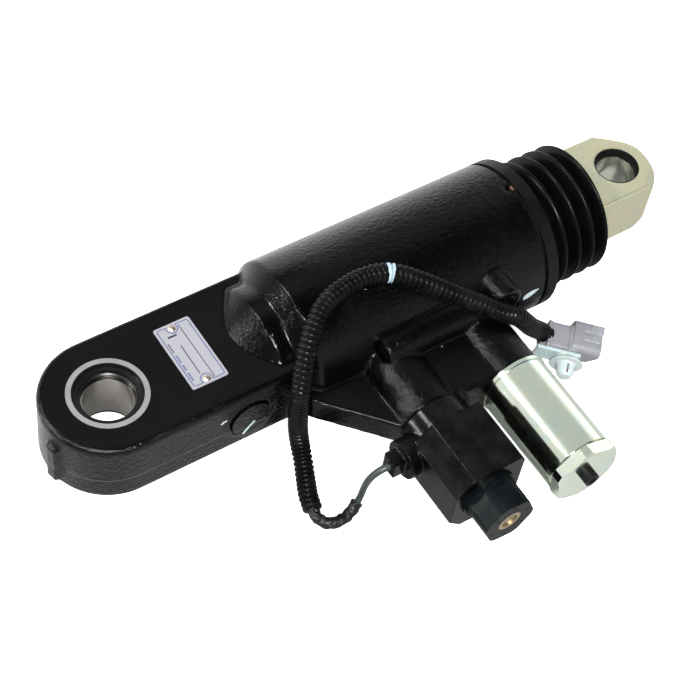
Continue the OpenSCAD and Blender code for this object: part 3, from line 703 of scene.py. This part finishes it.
def add_nameplate_print():
    """A border that steps round the rivets, ruled lines and plain bars in place of words."""
    half_w, half_l, corner, clear = 8.6, 18.6, 1.0, 3.0
    reach = math.degrees(math.asin((half_l - RIVET_Y) / clear))

    def arc(cx, cy, r, start, end, steps=10):
        angles = np.radians(np.linspace(start, end, steps))
        return [(cx + r * math.cos(a), cy + r * math.sin(a)) for a in angles]

    border = arc(half_w - corner, half_l - corner, corner, 0, 90, 6)
    border += arc(RIVET_X, RIVET_Y, clear, reach, -180 - reach, 24)
    border += arc(corner - half_w, half_l - corner, corner, 90, 180, 6)
    border += arc(corner - half_w, corner - half_l, corner, 180, 270, 6)
    border += arc(RIVET_X, -RIVET_Y, clear, 180 + reach, -reach, 24)
    border += arc(half_w - corner, corner - half_l, corner, 270, 360, 6)
    border.append(border[0])
    blue = [(border, 0.45)]
    for i in range(13):
        start = 1.6 - 1.32 * i
        if i not in (4, 8):
            blue.append(([(-7.2, start), (-7.2, start - 0.85)], 1.1))
    add_print("plate_print", blue, "ink")
    dark = [([(3.1, 17.4), (3.15, 0), (3.2, -18)], 0.42), ([(-2.1, 5.9), (-2.2, -3), (-2.3, -12.9)], 0.5),
            ([(-5.6, 12.6), (-0.6, 12.6)], 1.0)]
    dark += [([(-7.3, 9.2 - 1.5 * i), (-7.3, 8.2 - 1.5 * i)], 0.9) for i in range(4)]
    add_print("plate_rules", dark, "dark_ink")


def add_mark(name, points, faces):
    """A stroke of paint. points are in mm."""
    obj = mesh_object(name, [tuple(c * MM for c in p) for p in points], faces)
    finish_mesh(obj, "mark")


def add_paint_marks():
    """Strokes of pale inspection paint on the lug's side and on the barrel near the gland."""
    strokes = [(((43.6, 5.6), (45.4, 6.9), (47.0, 6.6), (48.6, 7.6)), -34.36, 1.5),
               (((56.0, -9.4), (57.4, -7.6), (59.6, -5.0), (62.4, -2.2)), -35.95, 1.7)]
    for k, (stroke, y, width) in enumerate(strokes):
        left, right = ribbon_points(stroke, width)
        points = [(x, y, z) for pair in zip(left, right) for x, z in pair]
        faces = [(2 * i, 2 * i + 1, 2 * i + 3, 2 * i + 2) for i in range(len(stroke) - 1)]
        add_mark(f"lug_mark_{k + 1}", points, faces)
    points, rows, mark_r = [], 10, 42.14
    for i in range(rows + 1):
        place = i / rows
        middle, half = 3.4 + 2.2 * place, 1.9 * math.sin(math.pi * min(1, 0.15 + 0.85 * place) ** 0.8) + 0.15
        for turn in (middle - half, middle, middle + half):
            angle = turn / mark_r
            points.append((223.6 + 10.2 * place, -mark_r * math.cos(angle), mark_r * math.sin(angle)))
    add_mark("barrel_mark", points, [(3 * i + k, 3 * i + k + 1, 3 * i + k + 4, 3 * i + k + 3)
                                     for i in range(rows) for k in range(2)])


def finish_cad_nodes():
    """Materials of the CAD nodes that show as they are."""
    looks = {
        "race": ["base_eye_race"],
        "bore": ["base_eye_ball", "valve_spool", "push_pin"],
        "bush": ["rod_eye_bush"],
        "seal": ["base_eye_seals", "rod_eye_seals", "gland_o_ring", "rod_wiper", "coil_o_rings",
                 "accumulator_piston_ring", "cap_o_ring"],
        "plate": ["nameplate"],
        "rivet": ["nameplate_rivets"],
        "enamel": ["lug_side_plug", "gallery_plug", "port_plug"],
        "gland": ["gland"],
        "copper": ["gland_lock_pin"],
        "bronze": ["gland_bush"],
        "seal_blue": ["rod_seal", "piston_seal", "piston_wear_rings", "connector_seal"],
        "chrome": ["piston_rod"],
        "zinc_y": ["accumulator_shell", "accumulator_cap", "accumulator_seal"],
        "dark_steel": ["piston", "piston_nut", "valve_cage", "armature", "pole_piece", "accumulator_piston"],
        "brass": ["armature_tube", "override_pin", "connector_terminals"],
        "oxide": ["set_screw"],
        "nut": ["coil_nut"],
    }
    for look, nodes in looks.items():
        for name in nodes:
            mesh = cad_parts[name].data
            mesh.materials.clear()
            mesh.materials.append(MATERIALS[look])
            mesh.shade_smooth()
            mesh.set_sharp_from_angle(angle=math.radians(28))


# ---------------------------------------------------------------- studio

# Greys of the backdrop: up z from the horizon, and along y towards the softbox
SKY_STOPS = ((0.3, 1.0), (0.6, 0.05))
SOFTBOX_STOPS = ((0.2, 0.0), (0.33, 0.5), (0.56, 0.5), (0.7, 0.0), (0.8, 0.0), (0.92, 1.0))


def add_light(name, place, aim, size, power):
    """A white rectangular light, its power in watts."""
    data = bpy.data.lights.new(name, "AREA")
    data.shape = "RECTANGLE"
    data.size, data.size_y = size
    data.energy = power
    light = bpy.data.objects.new(name, data)
    bpy.context.scene.collection.objects.link(light)
    light.location = place
    light.rotation_euler = (Vector(aim) - Vector(place)).to_track_quat("-Z", "Y").to_euler()


def add_floor():
    """White paper, dimmer as the model reflects it, and lit behind the model."""
    corners = [(-4, -4, FLOOR_Z), (4, -4, FLOOR_Z), (4, 4, FLOOR_Z), (-4, 4, FLOOR_Z)]
    floor = mesh_object("floor", corners, [(0, 1, 2, 3)])
    paper = Paint("floor_paper", (0.9, 0.9, 0.9), 0.9, Emission_Color=(1, 1, 1, 1), Specular_IOR_Level=0.0)
    behind = paper.between(paper.part("y"), 0.02, 0.16)
    paper.drive("Base Color", paper.seen_or_felt(0.9, 0.3))
    glow = paper.math("MULTIPLY", behind, paper.seen_or_felt(0.0, 0.8))
    paper.drive("Emission Strength", paper.math("ADD", glow, paper.seen_or_felt(0.95, 0.14)))
    floor.data.materials.append(paper.material)


def add_backdrop():
    """A white world with a dark ceiling, dimmer on the left, and a softbox behind the model."""
    world = bpy.data.worlds.new("studio")
    world.use_nodes = True
    sky = Nodes(world.node_tree, "Generated")

    def shaded(axis, stops, level):
        """A level times a ramp of greys along one axis of the view's direction."""
        shade = sky.ramp(sky.part(axis), [(at, (tone, tone, tone)) for at, tone in stops])
        return sky.math("MULTIPLY", level, shade)

    dome = shaded("z", SKY_STOPS, sky.seen_or_felt(1.0, 0.9))
    dome = sky.math("MULTIPLY", dome, sky.between(sky.part("x"), -0.9, -0.45, 0.3, 1.0))
    softbox = shaded("y", SOFTBOX_STOPS, sky.seen_or_felt(0.0, 1.2))
    background = sky.tree.nodes["Background"]
    background.inputs["Color"].default_value = (1, 1, 1, 1)
    sky.tree.links.new(sky.math("ADD", dome, softbox), background.inputs["Strength"])
    bpy.context.scene.world = world
    bpy.context.scene.view_settings.view_transform = "Standard"


def add_studio():
    """The floor, the backdrop and four small lights."""
    add_floor()
    add_backdrop()
    middle = (0.12, -0.05, 0)
    add_light("key", (-0.5, -0.9, 1.5), (0.12, 0, 0), (0.13, 0.13), 70)
    add_light("back", (-0.605, 0.5, 0.86), middle, (0.1, 0.12), 9.5)
    add_light("low_back", (-1.04, 0.52, 0.18), middle, (0.1, 0.12), 9)
    add_light("left", (-1.0, -0.1, 0.9), middle, (0.1, 0.1), 3)


add_camera()
add_harness()
add_casting()
add_rod_eye()
add_coil()
add_bellows()
add_spring("return_spring", "valve_spring", 0.5 * MM, 6)
add_spring("ram_spring", "accumulator_spring", 1.1 * MM, 6)
add_nameplate_print()
add_paint_marks()
finish_cad_nodes()
add_studio()
